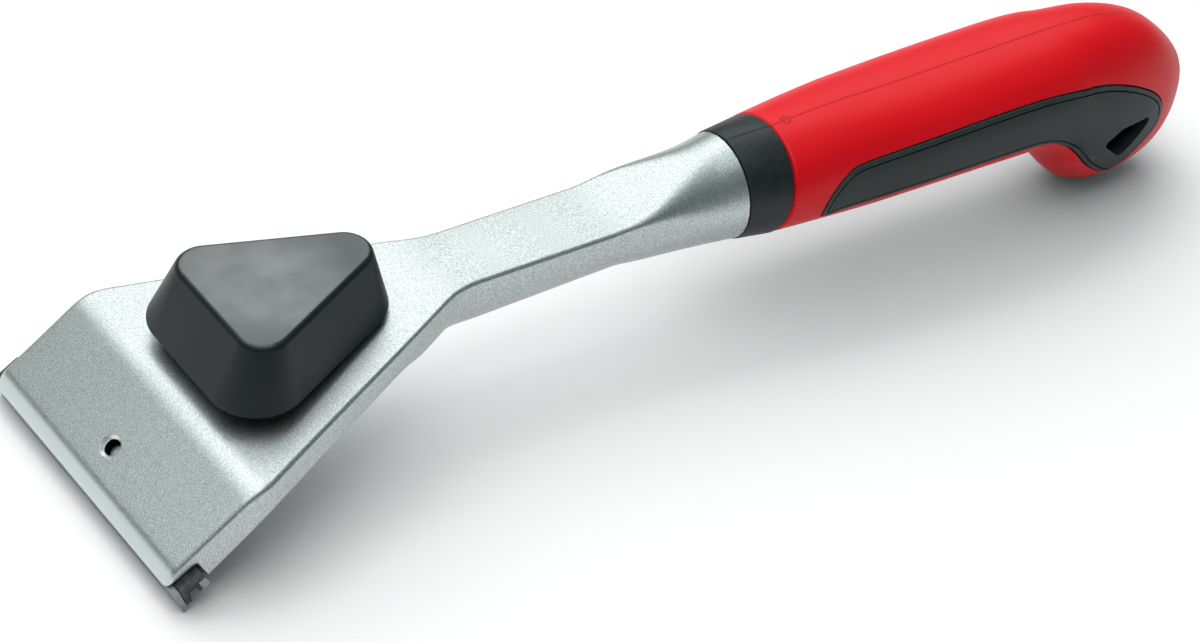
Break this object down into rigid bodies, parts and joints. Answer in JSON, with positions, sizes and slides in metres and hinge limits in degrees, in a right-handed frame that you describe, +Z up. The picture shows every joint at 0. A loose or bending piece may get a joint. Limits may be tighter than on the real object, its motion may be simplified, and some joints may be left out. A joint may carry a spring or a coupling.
{
  "type": "paint scraper",
  "caption": "Two-handed paint scraper with a clamped carbide-edged blade, a die-cast head and neck, a triangular front knob and a hooked two-colour grip.",
  "frame": {"origin": "on the bench, below the middle of the tool's overall box, with the tool resting on its cutting edge and on the underside of the hook", "axes": "+X runs from the blade to the end of the grip, +Y across the blade, +Z up"},
  "size_m": [0.2572, 0.065, 0.0421],
  "materials": {
    "cast_aluminium": "silver paint with a fine grain",
    "blackened_steel": "blackened, satin",
    "carbide": "ground",
    "zinc_steel": "zinc plated",
    "brass": "machined",
    "knob_plastic": "fine satin",
    "collar_plastic": "satin",
    "core_plastic": "as moulded",
    "skin_plastic": "satin",
    "panel_rubber": "matte"
  },
  "bodies": {
    "scraper": {"head_casting": "cast_aluminium", "knob_washer": "zinc_steel", "collar": "collar_plastic", "grip_core": "core_plastic", "grip_skin": "skin_plastic", "side_panel_near": "panel_rubber", "side_panel_far": "panel_rubber"},
    "blade": {"blade_body": "blackened_steel", "blade_edge_front": "carbide", "blade_edge_rear": "carbide"},
    "clamp": {"clamp_plate": "blackened_steel", "clamp_washer": "zinc_steel"},
    "clamp_screw": {"clamp_screw": "zinc_steel"},
    "knob": {"knob_shell": "knob_plastic", "knob_insert": "brass"},
    "knob_screw": {"knob_screw": "zinc_steel"}
  },
  "joints": [
    {"name": "blade_slide", "type": "slide", "parent": "scraper", "child": "blade", "axis": [0, 1, 0], "range_m": [-0.066, 0.066]},
    {"name": "clamp_travel", "type": "slide", "parent": "scraper", "child": "clamp", "axis": [0.5807, 0, -0.8141], "range_m": [0, 0.0028]},
    {"name": "clamp_screw_turn", "type": "hinge", "parent": "clamp", "child": "clamp_screw", "pos_m": [-0.12119, 0, 0.00965], "axis": [0.5807, 0, -0.8141], "range_deg": [0, 1440]},
    {"name": "knob_lift", "type": "slide", "parent": "scraper", "child": "knob", "axis": [-0.1098, 0, 0.994], "range_m": [0, 0.008]},
    {"name": "knob_screw_turn", "type": "hinge", "parent": "scraper", "child": "knob_screw", "pos_m": [-0.09345, 0, 0.0271], "axis": [0.1098, 0, -0.994], "range_deg": [0, 2880]}
  ],
  "couplings": [
    {"joint": "clamp_screw_turn", "follows": "clamp_travel", "rad_per_m": 8976},
    {"joint": "knob_screw_turn", "follows": "knob_lift", "rad_per_m": 6283.2}
  ]
}
